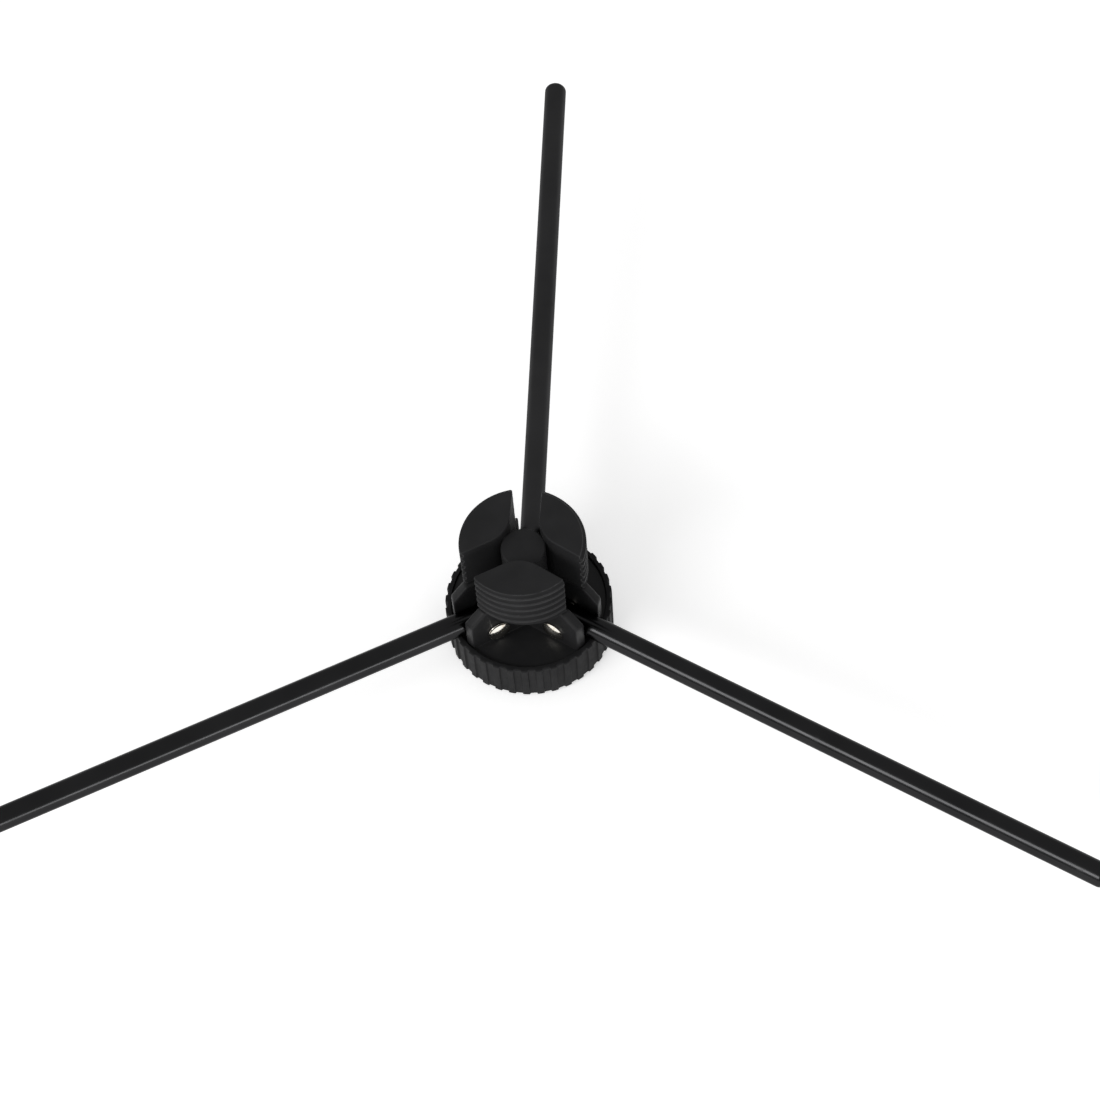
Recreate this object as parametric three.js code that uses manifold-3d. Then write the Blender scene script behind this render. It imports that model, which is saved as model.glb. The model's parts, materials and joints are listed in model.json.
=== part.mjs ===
// Folding tripod base of a stand for a clarinet, flute or oboe.
// A knurled foot, a carrier with three pairs of hinge cheeks, three folding rod legs, and a slotted
// crown with an outside thread for the instrument peg.
// Millimetres, +Z up. The origin is the centre of the foot pad's underside.
import * as THREE from 'three';
import { mergeVertices } from 'three/addons/utils/BufferGeometryUtils.js';
import Module from 'manifold-3d';

const wasm = await Module();
wasm.setup();

// Clearances
const FIT_GAP = 0.3;
const WASHER_GAP = 0.1;

// Legs: azimuth of each in degrees, and the rods
const LEGS = { back: 90, left: 210, right: 330 };
const FIRST_LEG = 90;
const FIRST_SECTOR = 30;
const LEG_RISE = 4;
const ROD_RADIUS = 2.5;
const ROD_REACH = 136.0;
const PIVOT_REACH = 9.5;
const PIVOT_HEIGHT = 12.75;
const TIP_DOME = 1.9;

// Knurled collar and foot pad
const COLLAR_RADIUS = 18;
const COLLAR_BOTTOM = 0.5;
const COLLAR_TOP = 10.5;
const COLLAR_BORE = 16.7;
const RIB_COUNT = 36;
const RIB_DEPTH = 0.35;
const RIB_SHARE = 0.48;
const GROOVE_SHARE = 0.42;
const FLANGE_BOTTOM = 2.7;
const FLANGE_TOP = 4.0;
const FLANGE_BORE = 9.3;
const PAD_RADIUS = 15.8;
const PAD_THICKNESS = 1.2;
const PAD_BEVEL = 0.3;

// Hinge carrier
const DISC_RADIUS = 16.4;
const DISC_TOP = 9.5;
const BOSS_RADIUS = 9.0;
const CUP_RECESS = 6.6;
const POST_RADIUS = 4.7;
const CHEEK_FACE = 4.9;
const CHEEK_SLOT = 2.7;
const CHEEK_TOP = 21.1;
const CHEEK_TOP_RADIUS = 13.0;
const CHEEK_SHOULDER = 17.9;

// Threaded crown
const CROWN_BOTTOM = 21.4;
const CROWN_TOP = 34.0;
const POST_TOP = 31.6;
const THREAD_MAJOR = 13.3;
const THREAD_DEPTH = 0.75;
const THREAD_PITCH = 2.2;
const THREAD_CHAMFER = 0.5;
const THREAD_STEPS = 40;
const CROWN_SLOT = 3.1;
const APEX_ROUND = 7.0;

// Fasteners
const PIN_RADIUS = 1.2;
const PIN_HOLE = 1.4;
const PIN_HEAD_RADIUS = 2.5;
const PIN_HEAD_EDGE = 0.25;
const PIN_HEAD_THICKNESS = 0.9;
const PIN_HEAD_FLAT = 1.5;
const WASHER_THICKNESS = 0.3;
const SCREW_RADIUS = 1.5;
const SCREW_TIP = 28.5;
const SCREW_HEAD_RADIUS = 4.2;
const SCREW_HEAD_BOTTOM = 1.7;
const SCREW_HEAD_TOP = 3.5;
const RECESS_SIZE = [4.4, 1.1, 1.0];
const CUP_RADIUS = 5.3;
const CUP_BRIM = 13.3;
const CUP_SHEET = 0.8;
const CUP_FLARE = 0.8;
const BRIM_BOTTOM = 1.6;

const ROUND = 64;
const SMALL_ROUND = 20;
const FAR = 30;

const blackPlastic = { color: 0x1b1b1b, roughness: 0.6, metalness: 0 };
const blackPaint = { color: 0x141414, roughness: 0.3, metalness: 0.2 };
const nickel = { color: 0xcfcac0, roughness: 0.25, metalness: 1 };
const zincSteel = { color: 0x9c9d9f, roughness: 0.4, metalness: 1 };
const rubber = { color: 0x171717, roughness: 0.9, metalness: 0 };

// ---- making solids ------------------------------------------------------------------------------

function solid(geometry) {
  const bare = geometry.clone();
  bare.deleteAttribute('normal');
  bare.deleteAttribute('uv');
  const merged = mergeVertices(bare);
  const index = merged.index.array;
  const triangles = [];
  for (let i = 0; i < index.length; i += 3) {
    const [a, b, c] = index.slice(i, i + 3);
    if (a !== b && b !== c && c !== a) {
      triangles.push(a, b, c);
    }
  }
  const mesh = new wasm.Mesh({
    numProp: 3,
    vertProperties: new Float32Array(merged.attributes.position.array),
    triVerts: new Uint32Array(triangles),
  });
  return new wasm.Manifold(mesh);
}

function geometryOf(manifold) {
  const { vertProperties, triVerts } = manifold.getMesh();
  const geometry = new THREE.BufferGeometry();
  geometry.setAttribute('position', new THREE.BufferAttribute(vertProperties, 3));
  geometry.setIndex(new THREE.BufferAttribute(triVerts, 1));
  return geometry;
}

// Turns a profile of [radius, height] points, listed counter-clockwise, about Z.
function turned(profile, segments = ROUND) {
  const points = profile.map(([radius, height]) => new THREE.Vector2(radius, height));
  return new THREE.LatheGeometry(points, segments).rotateX(Math.PI / 2);
}

function cylinder(radius, bottom, top, segments = ROUND) {
  return solid(turned([[0, bottom], [radius, bottom], [radius, top], [0, top]], segments));
}

function box(width, depth, height, x, y, z) {
  return new THREE.BoxGeometry(width, depth, height).translate(x, y, z);
}

function prism(shape, bottom, top) {
  const options = { depth: top - bottom, bevelEnabled: false, curveSegments: 8 };
  return new THREE.ExtrudeGeometry(shape, options).translate(0, 0, bottom);
}

function polygon(points) {
  return new THREE.Shape(points.map(([x, y]) => new THREE.Vector2(x, y)));
}

// Three copies of a geometry, the first turned to the given azimuth, joined as one solid.
function threefold(geometry, firstAzimuth) {
  const copies = [0, 120, 240].map((step) => {
    const angle = THREE.MathUtils.degToRad(firstAzimuth + step);
    return solid(geometry.clone().rotateZ(angle));
  });
  return copies[0].add(copies[1]).add(copies[2]);
}

// A pin or hole along Y, at the leg pivot of a leg that lies along X.
function crossPin(radius, from, to, segments = SMALL_ROUND) {
  const profile = [[0, from], [radius, from], [radius, to], [0, to]];
  return turned(profile, segments).rotateX(-Math.PI / 2);
}

// ---- foot ---------------------------------------------------------------------------------------

// Flat-topped ribs with grooves between them, one rib centred on X.
function knurlOutline() {
  const pitch = (2 * Math.PI) / RIB_COUNT;
  const floorRadius = COLLAR_RADIUS - RIB_DEPTH;
  const stops = [
    [-RIB_SHARE / 2, COLLAR_RADIUS],
    [RIB_SHARE / 2, COLLAR_RADIUS],
    [0.5 - GROOVE_SHARE / 2, floorRadius],
    [0.5 + GROOVE_SHARE / 2, floorRadius],
  ];
  const points = [];
  for (let rib = 0; rib < RIB_COUNT; rib += 1) {
    for (const [offset, radius] of stops) {
      const angle = (rib + offset) * pitch;
      points.push([radius * Math.cos(angle), radius * Math.sin(angle)]);
    }
  }
  return polygon(points);
}

function knurledCollar() {
  const recessTop = PAD_THICKNESS + FIT_GAP;
  return solid(prism(knurlOutline(), COLLAR_BOTTOM, COLLAR_TOP))
    .subtract(cylinder(PAD_RADIUS + FIT_GAP, COLLAR_BOTTOM - 1, recessTop))
    .subtract(cylinder(CUP_BRIM + FIT_GAP, 0, FLANGE_BOTTOM))
    .subtract(cylinder(FLANGE_BORE, 0, FLANGE_TOP + 1))
    .subtract(cylinder(COLLAR_BORE, FLANGE_TOP, COLLAR_TOP + 1));
}

function footPad() {
  return solid(turned([
    [0, 0],
    [PAD_RADIUS - PAD_BEVEL, 0],
    [PAD_RADIUS, PAD_BEVEL],
    [PAD_RADIUS, PAD_THICKNESS],
    [0, PAD_THICKNESS],
  ]));
}

// A cup over the screw head, with a brim that holds the collar's flange from below.
function dishedWasher() {
  const hole = SCREW_RADIUS + FIT_GAP;
  const cupBottom = SCREW_HEAD_TOP + FIT_GAP;
  return solid(turned([
    [hole, cupBottom],
    [CUP_RADIUS - CUP_SHEET, cupBottom],
    [CUP_RADIUS - CUP_SHEET + CUP_FLARE, BRIM_BOTTOM],
    [CUP_BRIM, BRIM_BOTTOM],
    [CUP_BRIM, BRIM_BOTTOM + CUP_SHEET],
    [CUP_RADIUS + CUP_FLARE, BRIM_BOTTOM + CUP_SHEET],
    [CUP_RADIUS, cupBottom + CUP_SHEET],
    [hole, cupBottom + CUP_SHEET],
    [hole, cupBottom],
  ]));
}

function centreScrew() {
  const [length, width, depth] = RECESS_SIZE;
  const recess = box(length, width, 2 * depth, 0, 0, SCREW_HEAD_BOTTOM);
  const crossed = recess.clone().rotateZ(Math.PI / 2);
  return cylinder(SCREW_RADIUS, SCREW_HEAD_BOTTOM, SCREW_TIP, SMALL_ROUND)
    .add(cylinder(SCREW_HEAD_RADIUS, SCREW_HEAD_BOTTOM, SCREW_HEAD_TOP, SMALL_ROUND))
    .subtract(solid(recess))
    .subtract(solid(crossed));
}

// ---- hinge carrier ------------------------------------------------------------------------------

// Three arms from the axis outwards, trimmed to a round body with a sloping shoulder.
function cheekArms() {
  const arm = box(FAR, 2 * CHEEK_FACE, FAR, FAR / 2, 0, DISC_TOP);
  const body = turned([
    [0, DISC_TOP - 1],
    [DISC_RADIUS, DISC_TOP - 1],
    [DISC_RADIUS, CHEEK_SHOULDER],
    [CHEEK_TOP_RADIUS, CHEEK_TOP],
    [0, CHEEK_TOP],
  ]);
  return threefold(arm, FIRST_LEG).intersect(solid(body));
}

function hingeCarrier() {
  const slot = box(FAR, 2 * CHEEK_SLOT, FAR, FAR / 2, 0, DISC_TOP + FAR / 2);
  const pinHole = crossPin(PIN_HOLE, -CHEEK_FACE - 1, CHEEK_FACE + 1)
    .translate(PIVOT_REACH, 0, PIVOT_HEIGHT);
  const discBottom = FLANGE_TOP + FIT_GAP;
  const cupTop = SCREW_HEAD_TOP + FIT_GAP + CUP_SHEET;
  return cylinder(DISC_RADIUS, discBottom, DISC_TOP)
    .add(cylinder(BOSS_RADIUS, FLANGE_BOTTOM, DISC_TOP))
    .add(cheekArms())
    .subtract(threefold(slot, FIRST_LEG))
    .add(cylinder(POST_RADIUS, DISC_TOP - 1, CHEEK_TOP))
    .subtract(cylinder(CUP_RECESS, 0, cupTop + FIT_GAP))
    .subtract(cylinder(SCREW_RADIUS + FIT_GAP, 0, CROWN_TOP, SMALL_ROUND))
    .subtract(threefold(pinHole, FIRST_LEG));
}

// ---- threaded crown -----------------------------------------------------------------------------

// A right-hand screw: a trapezoid ridge swept round Z, closed by a cone at each end.
function screwBody(bottom, top) {
  const root = THREAD_MAJOR - THREAD_DEPTH;
  const ridge = [[0, root], [0.22, root], [0.46, THREAD_MAJOR], [0.76, THREAD_MAJOR]];
  const start = bottom - THREAD_PITCH * 1.5;
  const turns = Math.ceil((top - start) / THREAD_PITCH) + 1;
  const last = turns * THREAD_STEPS;
  const corner = (step, stop) => {
    const [fraction, radius] = ridge[stop % ridge.length];
    const whole = Math.floor(stop / ridge.length);
    const angle = (2 * Math.PI * (step % THREAD_STEPS)) / THREAD_STEPS;
    const height = start + THREAD_PITCH * (step / THREAD_STEPS + fraction + whole);
    return [radius * Math.cos(angle), radius * Math.sin(angle), height];
  };
  const lowPoint = [0, 0, start - THREAD_PITCH];
  const highPoint = [0, 0, start + THREAD_PITCH * (turns + 2)];
  const positions = [];
  const triangle = (...points) => positions.push(...points.flat());
  for (let step = 0; step < last; step += 1) {
    for (let stop = 0; stop < ridge.length; stop += 1) {
      triangle(corner(step, stop), corner(step + 1, stop), corner(step + 1, stop + 1));
      triangle(corner(step, stop), corner(step + 1, stop + 1), corner(step, stop + 1));
    }
  }
  for (let step = 0; step < THREAD_STEPS; step += 1) {
    const high = last - THREAD_STEPS + step;
    triangle(lowPoint, corner(step + 1, 0), corner(step, 0));
    triangle(highPoint, corner(high, ridge.length), corner(high + 1, ridge.length));
  }
  for (let stop = 0; stop < ridge.length; stop += 1) {
    triangle(lowPoint, corner(0, stop), corner(0, stop + 1));
    triangle(highPoint, corner(last, stop + 1), corner(last, stop));
  }
  const geometry = new THREE.BufferGeometry();
  geometry.setAttribute('position', new THREE.Float32BufferAttribute(positions, 3));
  return solid(geometry);
}

// A cylinder with chamfered rims, which gives the thread its lead-in at both ends.
function threadEnvelope() {
  const inset = THREAD_MAJOR - THREAD_CHAMFER;
  return solid(turned([
    [0, CROWN_BOTTOM],
    [inset, CROWN_BOTTOM],
    [THREAD_MAJOR + THREAD_CHAMFER, CROWN_BOTTOM + 2 * THREAD_CHAMFER],
    [THREAD_MAJOR + THREAD_CHAMFER, CROWN_TOP - 2 * THREAD_CHAMFER],
    [inset, CROWN_TOP],
    [0, CROWN_TOP],
  ]));
}

// The plan of one sector between two slots, pointing along X, with a rounded inner corner.
function sectorPlan() {
  const half = Math.PI / 3;
  const slotSide = [Math.sin(half) * CROWN_SLOT, -Math.cos(half) * CROWN_SLOT];
  const outer = [Math.cos(half) * FAR + slotSide[0], Math.sin(half) * FAR + slotSide[1]];
  const centre = (CROWN_SLOT + APEX_ROUND) / Math.sin(half);
  const shape = new THREE.Shape();
  shape.moveTo(outer[0], -outer[1]);
  shape.lineTo(...outer);
  shape.absarc(centre, 0, APEX_ROUND, Math.PI - half / 2, Math.PI + half / 2, false);
  shape.closePath();
  return shape;
}

function threadedCrown() {
  const sectors = threefold(prism(sectorPlan(), CROWN_BOTTOM - 1, CROWN_TOP + 1), FIRST_SECTOR);
  return screwBody(CROWN_BOTTOM, CROWN_TOP)
    .intersect(threadEnvelope())
    .intersect(sectors)
    .add(cylinder(POST_RADIUS, CROWN_BOTTOM, POST_TOP))
    .subtract(cylinder(SCREW_RADIUS + FIT_GAP, 0, SCREW_TIP + FIT_GAP, SMALL_ROUND));
}

// ---- legs and their pins ------------------------------------------------------------------------

// A rod along X with its pivot at the origin: half a ball at the pivot, a low dome at the tip.
function legRod() {
  const length = (ROD_REACH - PIVOT_REACH) / Math.cos(THREE.MathUtils.degToRad(LEG_RISE));
  const arcSteps = 5;
  const profile = [];
  for (let i = 0; i <= arcSteps; i += 1) {
    const angle = ((i / arcSteps) * Math.PI) / 2;
    profile.push([ROD_RADIUS * Math.sin(angle), -ROD_RADIUS * Math.cos(angle)]);
  }
  for (let i = 0; i <= arcSteps; i += 1) {
    const angle = ((i / arcSteps) * Math.PI) / 2;
    profile.push([ROD_RADIUS * Math.cos(angle), length - TIP_DOME * (1 - Math.sin(angle))]);
  }
  const hole = crossPin(PIN_HOLE, -ROD_RADIUS - 1, ROD_RADIUS + 1);
  return solid(turned(profile, SMALL_ROUND).rotateY(Math.PI / 2)).subtract(solid(hole));
}

// A rivet: its bevelled head is on the -Y side, and its shank runs on to the far retainer.
function pivotPin() {
  const headInside = CHEEK_FACE + WASHER_GAP;
  const headOutside = headInside + PIN_HEAD_THICKNESS;
  const tail = headInside + WASHER_THICKNESS + 2 * WASHER_GAP + PIN_HEAD_THICKNESS;
  const profile = [
    [0, -headOutside],
    [PIN_HEAD_FLAT, -headOutside],
    [PIN_HEAD_RADIUS, -headInside - PIN_HEAD_EDGE],
    [PIN_HEAD_RADIUS, -headInside],
    [PIN_RADIUS, -headInside],
    [PIN_RADIUS, tail],
    [0, tail],
  ];
  return solid(turned(profile, SMALL_ROUND).rotateX(-Math.PI / 2));
}

// A ring on the pin, from its inner face outwards; its outer rim stops at the edge height.
function pinRing(inside, edge, thickness) {
  const bore = PIN_RADIUS + WASHER_GAP;
  const profile = [
    [bore, inside],
    [PIN_HEAD_RADIUS, inside],
    [PIN_HEAD_RADIUS, inside + edge],
    [PIN_HEAD_FLAT, inside + thickness],
    [bore, inside + thickness],
    [bore, inside],
  ];
  return solid(turned(profile, SMALL_ROUND).rotateX(-Math.PI / 2));
}

// ---- assembly -----------------------------------------------------------------------------------

function named(name, manifold, look) {
  const mesh = new THREE.Mesh(geometryOf(manifold), new THREE.MeshStandardMaterial(look));
  mesh.name = name;
  return mesh;
}

function leg(side, azimuth) {
  const pivot = new THREE.Group();
  pivot.position.set(PIVOT_REACH, 0, PIVOT_HEIGHT);
  const rod = named(`leg_rod_${side}`, legRod(), blackPaint);
  rod.rotation.y = -THREE.MathUtils.degToRad(LEG_RISE);
  const washerInside = CHEEK_FACE + WASHER_GAP;
  const retainerInside = washerInside + WASHER_THICKNESS + WASHER_GAP;
  const washer = pinRing(washerInside, WASHER_THICKNESS, WASHER_THICKNESS);
  const retainer = pinRing(retainerInside, PIN_HEAD_EDGE, PIN_HEAD_THICKNESS);
  pivot.add(
    rod,
    named(`pivot_pin_${side}`, pivotPin(), nickel),
    named(`pin_washer_${side}`, washer, nickel),
    named(`pin_retainer_${side}`, retainer, nickel),
  );
  const arm = new THREE.Group();
  arm.rotation.z = THREE.MathUtils.degToRad(azimuth);
  arm.add(pivot);
  return arm;
}

const stand = new THREE.Group();
stand.add(
  named('foot_pad', footPad(), rubber),
  named('knurled_collar', knurledCollar(), blackPlastic),
  named('dished_washer', dishedWasher(), zincSteel),
  named('centre_screw', centreScrew(), zincSteel),
  named('hinge_carrier', hingeCarrier(), blackPlastic),
  named('threaded_crown', threadedCrown(), blackPlastic),
);
for (const [side, azimuth] of Object.entries(LEGS)) {
  stand.add(leg(side, azimuth));
}

export default stand;
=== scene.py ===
"""Looks for the folding tripod base of a woodwind stand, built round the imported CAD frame.

Every piece is built in millimetres and scaled to metres, in the same frame as the CAD model:
+Z up along the thread's axis, +Y along the back leg, origin under the middle of the foot pad.
"""
import json
import math

import bmesh
import bpy
from mathutils import Matrix, Vector


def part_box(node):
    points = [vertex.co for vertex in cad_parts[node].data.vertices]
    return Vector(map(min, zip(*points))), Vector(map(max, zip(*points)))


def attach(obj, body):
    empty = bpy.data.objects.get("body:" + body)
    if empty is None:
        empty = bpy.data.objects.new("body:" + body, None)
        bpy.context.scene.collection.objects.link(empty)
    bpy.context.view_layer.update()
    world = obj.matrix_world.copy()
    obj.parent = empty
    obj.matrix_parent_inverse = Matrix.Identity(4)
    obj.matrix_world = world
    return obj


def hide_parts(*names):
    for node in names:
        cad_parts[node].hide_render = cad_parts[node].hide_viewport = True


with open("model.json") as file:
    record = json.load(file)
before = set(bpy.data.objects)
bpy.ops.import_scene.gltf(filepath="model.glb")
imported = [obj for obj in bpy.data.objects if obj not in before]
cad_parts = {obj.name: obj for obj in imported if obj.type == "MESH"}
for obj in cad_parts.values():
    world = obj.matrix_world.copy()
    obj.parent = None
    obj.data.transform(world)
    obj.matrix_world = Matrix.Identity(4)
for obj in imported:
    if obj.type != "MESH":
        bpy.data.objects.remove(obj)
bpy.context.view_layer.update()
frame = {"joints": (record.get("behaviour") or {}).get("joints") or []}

MM = 0.001


def top_of(node):
    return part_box(node)[1].z / MM


def bottom_of(node):
    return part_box(node)[0].z / MM


def reach_of(node):
    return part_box(node)[1].x / MM


# ---- sizes in millimetres, from the frame where a box gives them --------------------------------

LEGS = {"back": 90, "left": 210, "right": 330}
FIRST_SECTOR = 30
LEG_RISE = math.radians(4)
JOINTS = {joint["name"]: joint for joint in frame["joints"]}
BACK_PIVOT = JOINTS["back_leg_fold"]["pos_m"]
PIVOT_REACH = BACK_PIVOT[1] / MM
PIVOT_HEIGHT = BACK_PIVOT[2] / MM
ROD_RADIUS = 2.5
ROD_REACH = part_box("leg_rod_back")[1].y / MM
TIP_DOME = 1.9

# Gaps between pieces, and the room a pin or a washer has on its shank
FIT_GAP = 0.3
SEAM = 0.06
PLAY = 0.1

COLLAR_RADIUS = reach_of("knurled_collar")
COLLAR_BOTTOM = bottom_of("knurled_collar")
COLLAR_TOP = top_of("knurled_collar")
COLLAR_BORE = 16.7
COLLAR_EDGE = 0.35
RIBS = 36
RIB_DEPTH = 0.35
FLANGE_BOTTOM = 2.7
FLANGE_TOP = 4.0
FLANGE_BORE = 9.3
PAD_RADIUS = reach_of("foot_pad")
PAD_TOP = top_of("foot_pad")
BRIM_RADIUS = reach_of("dished_washer")

DISC_RADIUS = reach_of("hinge_carrier")
DISC_TOP = 9.5
FLOOR_TOP = 9.78
BOSS_RADIUS = 9.0
CUP_RECESS = 6.6
CUP_TOP = top_of("dished_washer")
POST_RADIUS = 4.7
CHEEK_FACE = 4.9
CHEEK_SLOT = 2.7
CHEEK_TOP_RADIUS = 13.0
CHEEK_TOP_ROUND = 0.6
CHEEK_SHOULDER = 17.9
SHOULDER_ROUND = 1.2

CROWN_BOTTOM = bottom_of("threaded_crown")
CROWN_TOP = top_of("threaded_crown")
POST_TOP = 31.6
POST_EDGE = 0.35
THREAD_MAJOR = 13.3
THREAD_DEPTH = 0.75
THREAD_PITCH = 2.2
THREAD_LEAD_IN = (0.7, 1.4)
CROWN_SLOT = 3.1
CROWN_EDGE = 0.3
APEX_ROUND = 7.0
CORNER_ROUND = 0.55
CROWN_TURN = -1.4

PIN_RADIUS = 1.2
PIN_HOLE = 1.4
PIN_HEAD_RADIUS = 2.5
HEAD_THICKNESS = 0.9
HEAD_EDGE = 0.2

# Distances along a pivot pin from the rod's middle
HEAD_INSIDE = CHEEK_FACE + PLAY
WASHER_OUTSIDE = HEAD_INSIDE + 0.3
CAP_INSIDE = WASHER_OUTSIDE + PLAY
PIN_END = CAP_INSIDE + 0.35

SCREW_RADIUS = 1.5
SCREW_TIP = top_of("centre_screw")
SCREW_HEAD_RADIUS = reach_of("centre_screw")
SCREW_HEAD_BOTTOM = bottom_of("centre_screw")
SCREW_HEAD_TOP = 3.5

# Roundings of edges that are only just broken
BROKEN = 0.1
BLUNT = 0.15

# Facets round a full turn
FACETS = 96
FINE_FACETS = 144
CROWN_FACETS = 120
POST_FACETS = 72
PIN_FACETS = 64
SCREW_FACETS = 48
HOLE_FACETS = 32

# How far a cutter goes past a face or a joined solid into the next, and a length past everything
PAST = 1
FAR = 30


# ---- mesh building ------------------------------------------------------------------------------

def held(value):
    """The value, held between 0 and 1."""
    return min(max(value, 0.0), 1.0)


def eased(value):
    """The value held between 0 and 1, easing in and out."""
    share = held(value)
    return share * share * (3 - 2 * share)


def quarter_turn(steps):
    return [math.pi / 2 * k / steps for k in range(steps + 1)]


def rounded(points, steps=4):
    """A closed outline from (x, y) or (x, y, radius) points, with an arc where there is a radius."""
    made = []
    count = len(points)
    for i, point in enumerate(points):
        here = Vector(point[:2])
        radius = point[2] if len(point) > 2 else 0
        if radius <= 0:
            made.append(here)
            continue
        before = (Vector(points[i - 1][:2]) - here).normalized()
        after = (Vector(points[(i + 1) % count][:2]) - here).normalized()
        half = before.angle(after) / 2
        centre = here + (before + after).normalized() * radius / math.sin(half)
        start = here + before * radius / math.tan(half) - centre
        end = here + after * radius / math.tan(half) - centre
        first = math.atan2(start.y, start.x)
        sweep = math.remainder(math.atan2(end.y, end.x) - first, 2 * math.pi)
        for k in range(steps + 1):
            angle = first + sweep * k / steps
            made.append(centre + Vector((math.cos(angle), math.sin(angle))) * radius)
    return made


def mesh_object(name, vertices, faces):
    mesh = bpy.data.meshes.new(name)
    mesh.from_pydata([Vector(v) * MM for v in vertices], [], faces)
    bm = bmesh.new()
    bm.from_mesh(mesh)
    bmesh.ops.remove_doubles(bm, verts=bm.verts, dist=1e-7)
    bmesh.ops.dissolve_degenerate(bm, edges=bm.edges, dist=1e-8)
    bmesh.ops.recalc_face_normals(bm, faces=bm.faces)
    bm.to_mesh(mesh)
    bm.free()
    made = bpy.data.objects.new(name, mesh)
    bpy.context.scene.collection.objects.link(made)
    return made


def lathe(name, outline, facets=FACETS, radius_at=None):
    """Turns a closed (radius, height) outline about Z. radius_at(r, z, turn) may move a point in or out."""
    vertices = []
    rings = []
    for r, z in outline:
        ring = []
        for s in range(facets):
            if r > 1e-6 or s == 0:
                reach = radius_at(r, z, s / facets) if radius_at else r
                angle = 2 * math.pi * s / facets
                vertices.append((reach * math.cos(angle), reach * math.sin(angle), z))
            ring.append(len(vertices) - 1)
        rings.append(ring)
    faces = []
    for p, ring in enumerate(rings):
        following = rings[(p + 1) % len(rings)]
        for s in range(facets):
            n = (s + 1) % facets
            corners = dict.fromkeys((ring[s], following[s], following[n], ring[n]))
            if len(corners) > 2:
                faces.append(tuple(corners))
    return mesh_object(name, vertices, faces)


def loft(name, rings):
    """Joins closed rings of equally many points into a solid with flat ends."""
    count = len(rings[0])
    vertices = [point for ring in rings for point in ring]
    faces = [tuple(range(count)), tuple(range((len(rings) - 1) * count, len(rings) * count))]
    for level in range(len(rings) - 1):
        low = level * count
        high = low + count
        for p in range(count):
            q = (p + 1) % count
            faces.append((low + p, low + q, high + q, high + p))
    return mesh_object(name, vertices, faces)


def flat_ring(outline, z):
    return [(x, y, z) for x, y in outline]


def soft_prism(name, outline_at, bottom, top, edge):
    """A prism with rounded top and bottom edges. outline_at(inset) gives its outline, drawn in by inset."""
    levels = [(edge * (1 - math.sin(a)), edge * (1 - math.cos(a))) for a in quarter_turn(3)]
    rings = [flat_ring(outline_at(inset), bottom + rise) for inset, rise in levels]
    rings += [flat_ring(outline_at(inset), top - rise) for inset, rise in reversed(levels)]
    return loft(name, rings)


def apply_modifiers(thing):
    evaluated = thing.evaluated_get(bpy.context.evaluated_depsgraph_get())
    mesh = bpy.data.meshes.new_from_object(evaluated)
    thing.modifiers.clear()
    thing.data = mesh


def combine(thing, other, operation):
    """Joins or cuts `thing` with `other`, and removes `other`."""
    modifier = thing.modifiers.new("combine", "BOOLEAN")
    modifier.operation = operation
    modifier.solver = "MANIFOLD"
    modifier.object = other
    bpy.context.view_layer.update()
    apply_modifiers(thing)
    bpy.data.objects.remove(other, do_unlink=True)
    return thing


def threefold(source, first):
    """Three copies turned by 120 degrees each, as one object."""
    bm = bmesh.new()
    for step in (0, 120, 240):
        mesh = source.data.copy()
        mesh.transform(Matrix.Rotation(math.radians(first + step), 4, "Z"))
        bm.from_mesh(mesh)
        bpy.data.meshes.remove(mesh)
    bm.to_mesh(source.data)
    bm.free()
    return source


def drum(name, radius, bottom, top, facets=FACETS):
    return lathe(name, [(0, bottom), (radius, bottom), (radius, top), (0, top)], facets)


def block(name, low, high):
    corners = [(low[0], low[1]), (high[0], low[1]), (high[0], high[1]), (low[0], high[1])]
    return loft(name, [flat_ring(corners, low[2]), flat_ring(corners, high[2])])


def shade(thing, degrees=32):
    """Smooth shading that leaves flat faces flat and true edges sharp."""
    thing.data.shade_smooth()
    thing.data.set_sharp_from_angle(angle=math.radians(degrees))
    weighted = thing.modifiers.new("normals", "WEIGHTED_NORMAL")
    weighted.keep_sharp = True
    weighted.weight = 80


def merge_flats(thing):
    """Joins the triangles that a cut leaves on a flat face into one face again."""
    bm = bmesh.new()
    bm.from_mesh(thing.data)
    bmesh.ops.dissolve_limit(bm, angle_limit=math.radians(0.4), verts=bm.verts, edges=bm.edges)
    bm.to_mesh(thing.data)
    bm.free()
    return thing


def soften(thing, voxel, rounds, keep):
    """Melts sharp edges and corners as a moulding has them, then thins the flat stretches out."""
    remesh = thing.modifiers.new("remesh", "REMESH")
    remesh.mode = "VOXEL"
    remesh.voxel_size = voxel * MM
    smooth = thing.modifiers.new("smooth", "SMOOTH")
    smooth.factor = 0.5
    smooth.iterations = rounds
    thin = thing.modifiers.new("thin", "DECIMATE")
    thin.ratio = keep
    apply_modifiers(thing)
    return thing


# ---- the object's pieces ------------------------------------------------------------------------

def knurl_depth(turn):
    """How far the wall lies in at this share of a turn: 0 on a rib, 1 in a groove."""
    rib_half, flank = 0.235, 0.055
    along_pitch = (turn * RIBS) % 1.0
    off_rib = min(along_pitch, 1 - along_pitch)
    return eased((off_rib - rib_half) / flank)


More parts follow.
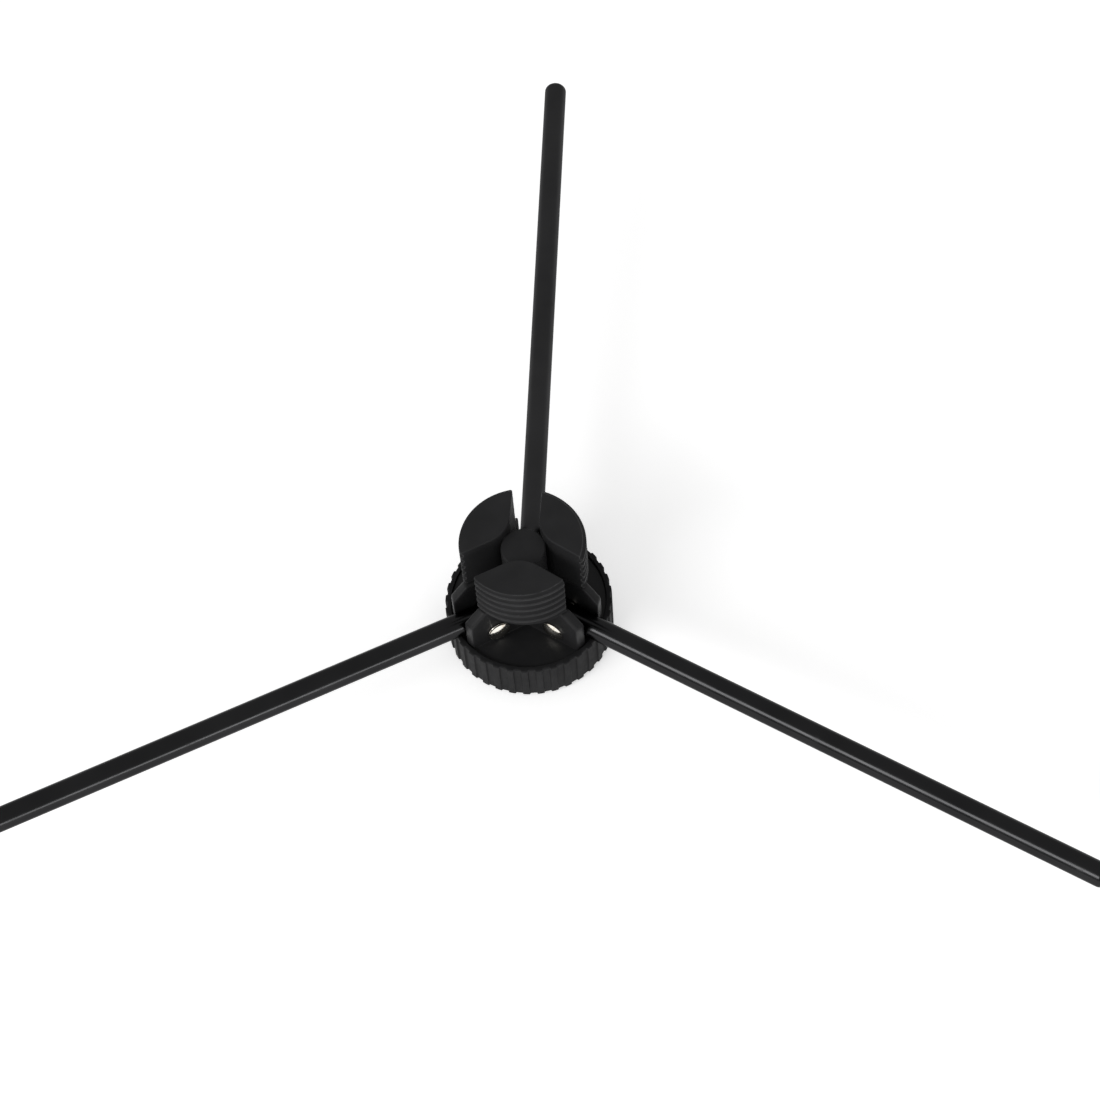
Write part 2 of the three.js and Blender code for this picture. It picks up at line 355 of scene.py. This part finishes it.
def make_collar():
    """The knurled collar: a ribbed wall, and an inner flange that the cupped washer's brim holds."""
    recess_top = PAD_TOP + FIT_GAP
    brim_recess = BRIM_RADIUS + FIT_GAP
    outline = rounded([
        (PAD_RADIUS + FIT_GAP, COLLAR_BOTTOM, BROKEN),
        (COLLAR_RADIUS, COLLAR_BOTTOM, COLLAR_EDGE),
        (COLLAR_RADIUS, (COLLAR_BOTTOM + COLLAR_TOP) / 2),
        (COLLAR_RADIUS, COLLAR_TOP, COLLAR_EDGE),
        (COLLAR_BORE, COLLAR_TOP, BLUNT),
        (COLLAR_BORE, FLANGE_TOP),
        (FLANGE_BORE, FLANGE_TOP, BLUNT),
        (FLANGE_BORE, FLANGE_BOTTOM, BLUNT),
        (brim_recess, FLANGE_BOTTOM),
        (brim_recess, recess_top, BROKEN),
        (PAD_RADIUS + FIT_GAP, recess_top),
    ])
    smooth_to, fade = COLLAR_BORE + 0.6, 0.3
    facets_per_rib = 18

    def radius_at(r, z, turn):
        return r - RIB_DEPTH * held((r - smooth_to) / fade) * knurl_depth(turn)

    return lathe("collar", outline, RIBS * facets_per_rib, radius_at)


def ridge_height(place):
    """The thread's section over one pitch, 0 at the root and 1 at the crest, both softly rounded."""
    crest, steepness = 0.61, 0.66
    return eased(0.5 + steepness * math.cos(2 * math.pi * (place - crest)))


def make_screw_body(name, bottom, top, major, depth, pitch, steps, stops):
    """A right-hand screw: a ridge swept round Z, closed by a cone at each end.

    It has `steps` facets a turn and `stops` points over the ridge, and goes past bottom and top.
    """
    start = bottom - 1.5 * pitch
    turns = math.ceil((top - start) / pitch) + 1
    last = turns * steps
    vertices = []
    index = {}

    def corner(step, stop):
        step, stop = step + steps * (stop // stops), stop % stops
        if (step, stop) not in index:
            index[step, stop] = len(vertices)
            angle = 2 * math.pi * (step % steps) / steps
            radius = major - depth * (1 - ridge_height(stop / stops))
            height = start + pitch * (step / steps + stop / stops)
            vertices.append((radius * math.cos(angle), radius * math.sin(angle), height))
        return index[step, stop]

    faces = []
    for step in range(last):
        for stop in range(stops):
            faces.append((corner(step, stop), corner(step + 1, stop),
                          corner(step + 1, stop + 1), corner(step, stop + 1)))
    low, high = len(vertices), len(vertices) + 1
    vertices += [(0, 0, start - pitch), (0, 0, start + pitch * (turns + 2))]
    for step in range(steps):
        above = last - steps + step
        faces.append((low, corner(step + 1, 0), corner(step, 0)))
        faces.append((high, corner(above, stops), corner(above + 1, stops)))
    for stop in range(stops):
        faces.append((low, corner(0, stop), corner(0, stop + 1)))
        faces.append((high, corner(last, stop + 1), corner(last, stop)))
    return mesh_object(name, vertices, faces)


def arc(centre, radius, first, last, steps):
    """Points along an arc about centre, from one angle to another."""
    angles = [first + (last - first) * k / steps for k in range(steps + 1)]
    return [(centre[0] + radius * math.cos(a), centre[1] + radius * math.sin(a)) for a in angles]


def sector_outline(inset):
    """The plan of one crown sector, pointing along X, with its inner and outer corners rounded."""
    half = math.pi / 3
    side = CROWN_SLOT + inset
    past_crests = 0.02
    reach = THREAD_MAJOR + past_crests - inset
    along = math.sqrt((reach - CORNER_ROUND) ** 2 - (side + CORNER_ROUND) ** 2)
    corner = (
        math.cos(half) * along + math.sin(half) * (side + CORNER_ROUND),
        math.sin(half) * along - math.cos(half) * (side + CORNER_ROUND),
    )
    turned = math.atan2(corner[1], corner[0])
    flank = math.pi - half / 2
    apex = ((CROWN_SLOT + APEX_ROUND) / math.sin(half), 0)
    upper = arc((0, 0), reach, 0, turned, 24)[1:] + arc(corner, CORNER_ROUND, turned, flank, 8)[1:]
    nose = arc(apex, APEX_ROUND - inset, flank, 2 * math.pi - flank, 16)
    lower = [(x, -y) for x, y in reversed(upper)]
    return upper + nose + lower + [(reach, 0)]


def make_crown():
    """The threaded crown: three sectors of a screw body, and the post in their middle."""
    thread = (THREAD_MAJOR, THREAD_DEPTH, THREAD_PITCH)
    crown = make_screw_body("crown", CROWN_BOTTOM, CROWN_TOP, *thread, steps=CROWN_FACETS, stops=14)
    wide = THREAD_MAJOR + PAST
    lead_in, lead_in_rise = THREAD_LEAD_IN
    envelope = rounded([
        (0, CROWN_BOTTOM),
        (THREAD_MAJOR - lead_in, CROWN_BOTTOM, BROKEN),
        (wide, CROWN_BOTTOM + lead_in_rise),
        (wide, CROWN_TOP),
        (0, CROWN_TOP),
    ])
    combine(crown, lathe("envelope", envelope, CROWN_FACETS), "INTERSECT")
    sector = soft_prism("sector", sector_outline, CROWN_BOTTOM, CROWN_TOP, CROWN_EDGE)
    combine(crown, threefold(sector, FIRST_SECTOR + CROWN_TURN), "INTERSECT")
    post = rounded([
        (0, CROWN_BOTTOM),
        (POST_RADIUS, CROWN_BOTTOM),
        (POST_RADIUS, POST_TOP, POST_EDGE),
        (0, POST_TOP),
    ], 5)
    combine(crown, lathe("post", post, POST_FACETS), "UNION")
    hole = drum("hole", SCREW_RADIUS + FIT_GAP, CROWN_BOTTOM - PAST, SCREW_TIP + FIT_GAP, HOLE_FACETS)
    combine(crown, hole, "DIFFERENCE")
    return merge_flats(crown)


def arm_prism(name, half_width, bottom, azimuth):
    """A long block from the axis outwards along one leg."""
    arm = block(name, (0, -half_width, bottom), (FAR, half_width, FAR))
    arm.data.transform(Matrix.Rotation(math.radians(azimuth), 4, "Z"))
    return arm


def cross_drum(name, radius, half_length):
    """A short cylinder along Y through the pivot of a leg that lies along X."""
    made = drum(name, radius, -half_length, half_length, HOLE_FACETS)
    made.data.transform(Matrix.Rotation(-math.pi / 2, 4, "X"))
    made.data.transform(Matrix.Translation(Vector((PIVOT_REACH, 0, PIVOT_HEIGHT)) * MM))
    return made


def make_cheeks():
    """Three pairs of cheeks round the post, still with the sharp edges of their cuts."""
    top = CROWN_BOTTOM - SEAM
    root = DISC_TOP - PAST
    shoulders = rounded([
        (0, root),
        (DISC_RADIUS, root),
        (DISC_RADIUS, CHEEK_SHOULDER, SHOULDER_ROUND),
        (CHEEK_TOP_RADIUS, top, CHEEK_TOP_ROUND),
        (0, top),
    ])
    cheeks = arm_prism("carrier", CHEEK_FACE, root, LEGS["back"])
    for side in ("left", "right"):
        combine(cheeks, arm_prism("arm", CHEEK_FACE, root, LEGS[side]), "UNION")
    combine(cheeks, lathe("shoulders", shoulders), "INTERSECT")
    floor_radius = DISC_RADIUS - 0.4
    combine(cheeks, drum("disc", floor_radius, FLANGE_TOP + PAST, DISC_TOP), "UNION")
    combine(cheeks, drum("boss", BOSS_RADIUS, FLANGE_BOTTOM, DISC_TOP), "UNION")
    for azimuth in LEGS.values():
        combine(cheeks, arm_prism("slot", CHEEK_SLOT, DISC_TOP, azimuth), "DIFFERENCE")
    combine(cheeks, drum("post", POST_RADIUS, root, top, POST_FACETS), "UNION")
    return cheeks


def make_carrier():
    """The hinge carrier: cheeks with melted edges, on a crisper floor disc."""
    carrier = make_cheeks()
    combine(carrier, drum("recess", CUP_RECESS, 0, CUP_TOP + FIT_GAP, POST_FACETS), "DIFFERENCE")
    combine(carrier, drum("hole", SCREW_RADIUS + FIT_GAP, 0, FAR, HOLE_FACETS), "DIFFERENCE")
    for azimuth in LEGS.values():
        pin_hole = cross_drum("pin_hole", PIN_HOLE, CHEEK_FACE + PAST)
        pin_hole.data.transform(Matrix.Rotation(math.radians(azimuth), 4, "Z"))
        combine(carrier, pin_hole, "DIFFERENCE")
    soften(carrier, voxel=0.2, rounds=22, keep=0.35)
    inside = BOSS_RADIUS - PAST
    outside = COLLAR_BORE - SEAM
    disc = rounded([
        (inside, FLANGE_TOP + FIT_GAP),
        (outside, FLANGE_TOP + FIT_GAP, 0.2),
        (outside, FLOOR_TOP, BLUNT),
        (POST_RADIUS - PAST, FLOOR_TOP),
        (POST_RADIUS - PAST, DISC_TOP - PAST),
        (inside, DISC_TOP - PAST),
    ])
    return combine(carrier, lathe("disc", disc, FINE_FACETS), "UNION")


def make_rod(side):
    """A rod from its pivot to its tip, built along X: a half ball at the pivot, a low dome at the tip."""
    length = (ROD_REACH - PIVOT_REACH) / math.cos(LEG_RISE)
    turn = quarter_turn(10)
    ball = [(ROD_RADIUS * math.sin(a), -ROD_RADIUS * math.cos(a)) for a in turn]
    dome = [(ROD_RADIUS * math.cos(a), length - TIP_DOME * (1 - math.sin(a))) for a in turn]
    rings = [(ROD_RADIUS, length * share) for share in (0.02, 0.1, 0.3, 0.5, 0.7, 0.9, 0.97)]
    rod = lathe("rod_" + side, ball + rings + dome, PIN_FACETS)
    rod.data.transform(Matrix.Rotation(math.pi / 2, 4, "Y"))
    hole = drum("hole", PIN_HOLE, -ROD_RADIUS - PAST, ROD_RADIUS + PAST, HOLE_FACETS)
    hole.data.transform(Matrix.Rotation(-math.pi / 2, 4, "X"))
    combine(rod, hole, "DIFFERENCE")
    rod.data.transform(Matrix.Rotation(-LEG_RISE, 4, "Y"))
    place_at_pivot(rod, side)
    return rod


def place_at_pivot(thing, side):
    thing.data.transform(Matrix.Translation(Vector((PIVOT_REACH, 0, PIVOT_HEIGHT)) * MM))
    thing.data.transform(Matrix.Rotation(math.radians(LEGS[side]), 4, "Z"))


def across(thing):
    """Lays a piece that was turned about Z along Y instead."""
    thing.data.transform(Matrix.Rotation(-math.pi / 2, 4, "X"))
    return thing


def dome_profile(inside, direction):
    """Half the outline of a domed head, from its rim to its middle, as (radius, distance) points."""
    rise = HEAD_THICKNESS - HEAD_EDGE
    ball = (PIN_HEAD_RADIUS ** 2 + rise ** 2) / (2 * rise)
    points = [(PIN_HEAD_RADIUS, inside), (PIN_HEAD_RADIUS, inside + direction * HEAD_EDGE)]
    steps = 10
    for k in range(1, steps + 1):
        r = PIN_HEAD_RADIUS * (1 - k / steps)
        height = HEAD_EDGE + math.sqrt(ball ** 2 - r ** 2) - (ball - rise)
        points.append((r, inside + direction * height))
    return points


def make_pin(side):
    """A rivet with a domed head. Its tail ends inside the cap."""
    head = dome_profile(-HEAD_INSIDE, -1)
    tail_round = 0.3
    tail = rounded([(0, PIN_END), (PIN_RADIUS, PIN_END, tail_round), (PIN_RADIUS, -HEAD_INSIDE)])
    pin = across(lathe("pin_" + side, tail + head, PIN_FACETS))
    place_at_pivot(pin, side)
    return pin


def make_washer(side):
    """The thin washer between a cheek and a rivet's cap."""
    bore = PIN_RADIUS + PLAY
    stamped = 0.06
    outline = rounded([
        (bore, HEAD_INSIDE),
        (PIN_HEAD_RADIUS, HEAD_INSIDE, stamped),
        (PIN_HEAD_RADIUS, WASHER_OUTSIDE, BROKEN),
        (bore, WASHER_OUTSIDE, stamped),
    ])
    washer = across(lathe("washer_" + side, outline, PIN_FACETS))
    place_at_pivot(washer, side)
    return washer


def make_cap(side):
    """A domed cap pressed over the rivet's tail."""
    bore = PIN_RADIUS + PLAY
    socket = [(0, PIN_END + PLAY), (bore, PIN_END + PLAY), (bore, CAP_INSIDE)]
    cap = across(lathe("cap_" + side, socket + dome_profile(CAP_INSIDE, 1), PIN_FACETS))
    place_at_pivot(cap, side)
    return cap


def make_pad():
    """The foot pad, with shallow rings under it for grip."""
    groove = ((0, 0), (0.2, 0.3), (0.7, 0.3), (0.9, 0))
    points = [(0, 0)]
    for radius in (5.0, 8.0, 11.0, 13.6):
        points += [(radius + along, depth, BROKEN) for along, depth in groove]
    points += [(PAD_RADIUS, 0, 0.35), (PAD_RADIUS, PAD_TOP, BLUNT), (0, PAD_TOP)]
    return lathe("pad", rounded(points))


def make_screw():
    """The centre screw: a pan head with a cross recess, and a thread over its upper part."""
    thread_start = SCREW_HEAD_TOP + 6
    depth, pitch = 0.28, 0.8
    size = (SCREW_RADIUS, depth, pitch)
    screw = make_screw_body("screw", thread_start, SCREW_TIP, *size, steps=36, stops=8)
    point_length, point_radius = 1.2, 0.5
    envelope = rounded([
        (0, thread_start - PAST),
        (SCREW_RADIUS, thread_start - PAST),
        (SCREW_RADIUS, SCREW_TIP - point_length),
        (point_radius, SCREW_TIP, 0.2),
        (0, SCREW_TIP),
    ])
    combine(screw, lathe("envelope", envelope, SCREW_FACETS), "INTERSECT")
    shank = SCREW_RADIUS - 0.1
    body = rounded([
        (0, SCREW_HEAD_BOTTOM),
        (SCREW_HEAD_RADIUS, SCREW_HEAD_BOTTOM, 0.9),
        (SCREW_HEAD_RADIUS, SCREW_HEAD_TOP, BROKEN),
        (shank, SCREW_HEAD_TOP, BLUNT),
        (shank, thread_start + PAST),
        (0, thread_start + PAST),
    ])
    combine(screw, lathe("body", body, SCREW_FACETS), "UNION")
    slot_length, slot_width = 4.4, 1.1
    for length, width in ((slot_length, slot_width), (slot_width, slot_length)):
        low = (-length / 2, -width / 2, SCREW_HEAD_BOTTOM - PAST)
        high = (length / 2, width / 2, SCREW_HEAD_BOTTOM + PAST)
        combine(screw, block("recess", low, high), "DIFFERENCE")
    return screw


def make_dished_washer():
    """The cupped washer under the screw's head, with a flat brim."""
    hole = SCREW_RADIUS + FIT_GAP
    cup_bottom = SCREW_HEAD_TOP + FIT_GAP
    cup_inside, cup_wall, cup_outside = 4.5, 5.3, 6.1
    brim = bottom_of("dished_washer")
    brim_top = brim + 0.8
    outline = rounded([
        (hole, cup_bottom, BROKEN),
        (cup_inside, cup_bottom, 0.3),
        (cup_wall, brim, 0.3),
        (BRIM_RADIUS, brim, BLUNT),
        (BRIM_RADIUS, brim_top, 0.25),
        (cup_outside, brim_top, 0.4),
        (cup_wall, CUP_TOP, 0.5),
        (hole, CUP_TOP, BROKEN),
    ])
    return lathe("cupped_washer", outline)


# ---- finishes -----------------------------------------------------------------------------------

NOISE_SPAN = (0.3, 0.7)


def near_grey(tone, cool):
    """A grey with its blue raised by the factor `cool`."""
    return tone, tone, tone * cool


class Finish:
    """A material made of nodes, with the object's own coordinates in millimetres as its only input."""

    def __init__(self, name, **values):
        self.material = bpy.data.materials.new(name)
        self.material.use_nodes = True
        self.nodes = self.material.node_tree.nodes
        self.links = self.material.node_tree.links
        self.shader = self.nodes["Principled BSDF"]
        for socket, value in values.items():
            self.shader.inputs[socket.replace("_", " ")].default_value = value
        place = self.nodes.new("ShaderNodeTexCoord")
        scale = self.nodes.new("ShaderNodeVectorMath")
        scale.operation = "SCALE"
        scale.inputs["Scale"].default_value = 1 / MM
        self.links.new(place.outputs["Object"], scale.inputs[0])
        self.place = scale.outputs[0]

    def noise(self, per_mm, detail):
        """Noise of so many waves per millimetre. Most of its values lie within NOISE_SPAN."""
        made = self.nodes.new("ShaderNodeTexNoise")
        made.inputs["Scale"].default_value = per_mm
        made.inputs["Detail"].default_value = detail
        self.links.new(self.place, made.inputs["Vector"])
        return made.outputs["Fac"]

    def spread(self, value, low, high, to_low, to_high):
        """Maps low..high to to_low..to_high, held at both ends."""
        made = self.nodes.new("ShaderNodeMapRange")
        limits = {"From Min": low, "From Max": high, "To Min": to_low, "To Max": to_high}
        for socket, number in limits.items():
            made.inputs[socket].default_value = number
        self.links.new(value, made.inputs["Value"])
        return made.outputs["Result"]

    def drift(self, per_mm, detail, low, high):
        """Noise that wanders from low to high."""
        return self.spread(self.noise(per_mm, detail), *NOISE_SPAN, low, high)

    def math(self, operation, first, second):
        made = self.nodes.new("ShaderNodeMath")
        made.operation = operation
        for socket, value in zip(made.inputs, (first, second)):
            if isinstance(value, (int, float)):
                socket.default_value = value
            else:
                self.links.new(value, socket)
        return made.outputs[0]

    def colours(self, value, *stops):
        """A colour from a value: stops are (position, (r, g, b))."""
        made = self.nodes.new("ShaderNodeValToRGB")
        ramp = made.color_ramp
        while len(ramp.elements) < len(stops):
            ramp.elements.new(0.5)
        for element, (position, colour) in zip(ramp.elements, stops):
            element.position = position
            element.color = (*colour, 1)
        self.links.new(value, made.inputs["Fac"])
        return made.outputs["Color"]

    def height(self):
        """The height in the object's own coordinates, in millimetres."""
        made = self.nodes.new("ShaderNodeSeparateXYZ")
        self.links.new(self.place, made.inputs[0])
        return made.outputs["Z"]

    def edges(self, width_mm):
        """About 1 within that distance of an edge, where the surface turns, and 0 elsewhere."""
        bevel = self.nodes.new("ShaderNodeBevel")
        bevel.samples = 6
        bevel.inputs["Radius"].default_value = width_mm * MM
        geometry = self.nodes.new("ShaderNodeNewGeometry")
        aligned = self.nodes.new("ShaderNodeVectorMath")
        aligned.operation = "DOT_PRODUCT"
        self.links.new(bevel.outputs["Normal"], aligned.inputs[0])
        self.links.new(geometry.outputs["Normal"], aligned.inputs[1])
        nearly_flat, well_turned = 0.995, 0.93
        return self.spread(aligned.outputs["Value"], nearly_flat, well_turned, 0, 1)

    def bump(self, height, depth_mm, strength):
        made = self.nodes.new("ShaderNodeBump")
        made.inputs["Distance"].default_value = depth_mm * MM
        made.inputs["Strength"].default_value = strength
        self.links.new(height, made.inputs["Height"])
        self.links.new(made.outputs["Normal"], self.shader.inputs["Normal"])

    def put(self, value, socket):
        self.links.new(value, self.shader.inputs[socket])


def black_plastic(name, tone, dull, reflection, rubbed_and_highlit_above):
    """Moulded black plastic: a fine grain, faint flow clouds and, above a height, edges painted lighter,
    partly as rubbing wear and partly as a painted highlight.
    """
    finish = Finish(name, IOR=1.46, Specular_IOR_Level=reflection)
    cloudy = 0.3
    clouds = finish.drift(0.15, 4, 0, cloudy)
    patches = finish.spread(finish.noise(0.9, 5), 0.3, 0.6, 0.35, 1)
    reached = finish.spread(finish.height(), rubbed_and_highlit_above, rubbed_and_highlit_above + 0.8, 0, 1)
    # Edges above the given height are painted lighter, up to 3.4 times the tone: partly rubbing wear,
    # partly a painted highlight where lit edges catch the light.
    worn_and_highlit = finish.math("MULTIPLY", finish.edges(0.3), finish.math("MULTIPLY", patches, reached))
    dark, light, rubbed_and_highlit = [near_grey(tone * level, 1.04) for level in (0.85, 1.15, 3.4)]
    look = finish.math("MAXIMUM", clouds, worn_and_highlit)
    finish.put(finish.colours(look, (0, dark), (cloudy, light), (1, rubbed_and_highlit)), "Base Color")
    finish.put(finish.drift(0.5, 4, dull - 0.06, dull + 0.06), "Roughness")
    finish.bump(finish.noise(5.5, 3), 0.02, 0.4)
    return finish.material


def black_paint(name, tone, dull):
    """Semi-gloss black finish on a steel rod: slow waves, faint clouds and a few dull scuffs."""
    finish = Finish(name, Metallic=1.0, Specular_Tint=(0.6, 0.6, 0.6, 1))
    darker, lighter = [near_grey(tone * level, 1.03) for level in (0.88, 1.12)]
    finish.put(finish.colours(finish.noise(0.08, 3), (0.3, darker), (0.7, lighter)), "Base Color")
    scuffs = finish.spread(finish.noise(0.35, 8), 0.6, 0.75, 0, 0.1)
    waves = finish.drift(0.25, 2, dull - 0.03, dull + 0.03)
    finish.put(finish.math("ADD", scuffs, waves), "Roughness")
    finish.bump(finish.noise(0.7, 2), 0.008, 0.1)
    return finish.material


def nickel():
    """Bright nickel plate with a soft polish, and random patches of a warm brown tint that are a painted
    reflection.
    """
    finish = Finish("nickel", Metallic=1.0)
    bright, warm_reflection = (0.88, 0.85, 0.78), (0.72, 0.64, 0.53)
    # The warm brown patches are a painted reflection of brown surroundings laid into the metal's colour.
    finish.put(finish.colours(finish.noise(0.9, 4), (0.3, warm_reflection), (0.5, bright)), "Base Color")
    finish.put(finish.drift(2.5, 5, 0.1, 0.18), "Roughness")
    finish.bump(finish.noise(5, 2), 0.003, 0.15)
    return finish.material


def zinc_steel():
    """Zinc-plated steel: grey, with the faint mottling of the plate."""
    finish = Finish("zinc_steel", Metallic=1.0)
    cells = finish.nodes.new("ShaderNodeTexVoronoi")
    cells.inputs["Scale"].default_value = 0.8
    finish.links.new(finish.place, cells.inputs["Vector"])
    mottle = finish.math("ADD", cells.outputs["Distance"], finish.noise(1.5, 5))
    dark, pale = (0.36, 0.37, 0.39), (0.55, 0.55, 0.56)
    finish.put(finish.colours(mottle, (0.4, dark), (0.95, pale)), "Base Color")
    finish.put(finish.drift(2, 5, 0.3, 0.48), "Roughness")
    finish.bump(finish.noise(4, 3), 0.01, 0.3)
    return finish.material


def rubber():
    """Matt black rubber with a dusty bloom."""
    finish = Finish("rubber", IOR=1.5, Specular_IOR_Level=0.3)
    dark, bloom = (0.012, 0.012, 0.012), (0.03, 0.03, 0.029)
    finish.put(finish.colours(finish.noise(0.3, 6), (0.35, dark), (0.7, bloom)), "Base Color")
    finish.put(finish.drift(1, 4, 0.75, 0.92), "Roughness")
    finish.bump(finish.noise(4, 3), 0.03, 0.5)
    return finish.material


# ---- the stand, piece by piece ------------------------------------------------------------------

def place(thing, material, body, slot, *nodes):
    """Gives a piece its material, and lets it stand for its CAD nodes."""
    thing.data.materials.clear()
    thing.data.materials.append(material)
    shade(thing)
    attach(thing, body)
    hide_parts(*nodes)


# One black plastic in three tones: the carrier and collar are set darker than the crown as painted shade
# for where they sit below it.
crown_plastic = black_plastic(
    "crown_plastic", tone=0.0185, dull=0.56, reflection=0.16, rubbed_and_highlit_above=CROWN_BOTTOM)
carrier_plastic = black_plastic(
    "carrier_plastic", tone=0.014, dull=0.4, reflection=0.16, rubbed_and_highlit_above=DISC_TOP + 0.6)
collar_plastic = black_plastic(
    "collar_plastic", tone=0.015, dull=0.55, reflection=0.07, rubbed_and_highlit_above=COLLAR_TOP - 1)
paint = black_paint("black_paint", tone=0.028, dull=0.2)
dull_paint = black_paint("dull_black_paint", tone=0.043, dull=0.42)
rod_paint = {"back": dull_paint, "left": paint, "right": paint}
plate = nickel()
zinc = zinc_steel()
grip = rubber()

place(make_collar(), collar_plastic, "hub", "black_plastic", "knurled_collar")
place(make_carrier(), carrier_plastic, "hub", "black_plastic", "hinge_carrier")
place(make_crown(), crown_plastic, "hub", "black_plastic", "threaded_crown")
place(make_pad(), grip, "hub", "rubber", "foot_pad")
place(make_screw(), zinc, "hub", "zinc_steel", "centre_screw")
place(make_dished_washer(), zinc, "hub", "zinc_steel", "dished_washer")
for side in LEGS:
    place(make_rod(side), rod_paint[side], side + "_leg", "black_paint", "leg_rod_" + side)
    place(make_pin(side), plate, "hub", "nickel", "pivot_pin_" + side)
    place(make_washer(side), plate, "hub", "nickel", "pin_washer_" + side)
    place(make_cap(side), plate, "hub", "nickel", "pin_retainer_" + side)


# ---- camera, floor and light --------------------------------------------------------------------

def make_camera():
    elevation, azimuth, roll = math.radians(57.95), math.radians(7.25), math.radians(-5.3)
    target = Vector((3.96, 12.8, 10.0)) * MM
    distance = 571 * MM
    flat = math.cos(elevation)
    back = Vector((flat * math.sin(azimuth), -flat * math.cos(azimuth), math.sin(elevation)))
    right = Vector((math.cos(azimuth), math.sin(azimuth), 0))
    up = back.cross(right)
    across_view = right * math.cos(roll) + up * math.sin(roll)
    up_view = up * math.cos(roll) - right * math.sin(roll)
    data = bpy.data.cameras.new("camera")
    data.lens = 85.92
    data.sensor_width = 36
    data.clip_start = 0.05
    data.clip_end = 20
    camera = bpy.data.objects.new("camera", data)
    bpy.context.scene.collection.objects.link(camera)
    turn = Matrix((across_view, up_view, back)).transposed()
    camera.matrix_world = Matrix.Translation(target + back * distance) @ turn.to_4x4()
    bpy.context.scene.camera = camera


def make_floor():
    half, height = 6000, -0.02
    corners = [(-half, -half), (half, -half), (half, half), (-half, half)]
    floor = mesh_object("floor", flat_ring(corners, height), [(0, 1, 2, 3)])
    material = bpy.data.materials.new("floor")
    material.use_nodes = True
    shader = material.node_tree.nodes["Principled BSDF"]
    shader.inputs["Base Color"].default_value = (0.9, 0.9, 0.9, 1)
    shader.inputs["Roughness"].default_value = 0.9
    shader.inputs["Specular IOR Level"].default_value = 0.1
    shader.inputs["Emission Color"].default_value = (1, 1, 1, 1)
    shader.inputs["Emission Strength"].default_value = 0.45
    floor.data.materials.append(material)


def soft_light(name, toward, distance, width, height, watts):
    """A soft box in the direction `toward` as seen from the hub, facing the hub."""
    data = bpy.data.lights.new(name, "AREA")
    data.shape = "RECTANGLE"
    data.size = width
    data.size_y = height
    data.energy = watts
    light = bpy.data.objects.new(name, data)
    bpy.context.scene.collection.objects.link(light)
    direction = Vector(toward).normalized()
    hub_middle = Vector((0, 0, 0.015))
    light.location = direction * distance + hub_middle
    light.rotation_mode = "QUATERNION"
    light.rotation_quaternion = direction.to_track_quat("Z", "Y")


def make_world():
    world = bpy.data.worlds.new("studio")
    world.use_nodes = True
    bpy.context.scene.world = world
    background = world.node_tree.nodes["Background"]
    background.inputs["Color"].default_value = (1, 1, 1, 1)
    background.inputs["Strength"].default_value = 0.5


make_camera()
make_floor()
make_world()
soft_light("left_light", (-0.585, -0.627, 0.515), distance=1.2, width=0.8, height=0.4, watts=6.8)
soft_light("right_light", (0.548, -0.812, 0.199), distance=1.2, width=0.45, height=0.25, watts=2.2)
bpy.context.scene.view_settings.view_transform = "Standard"
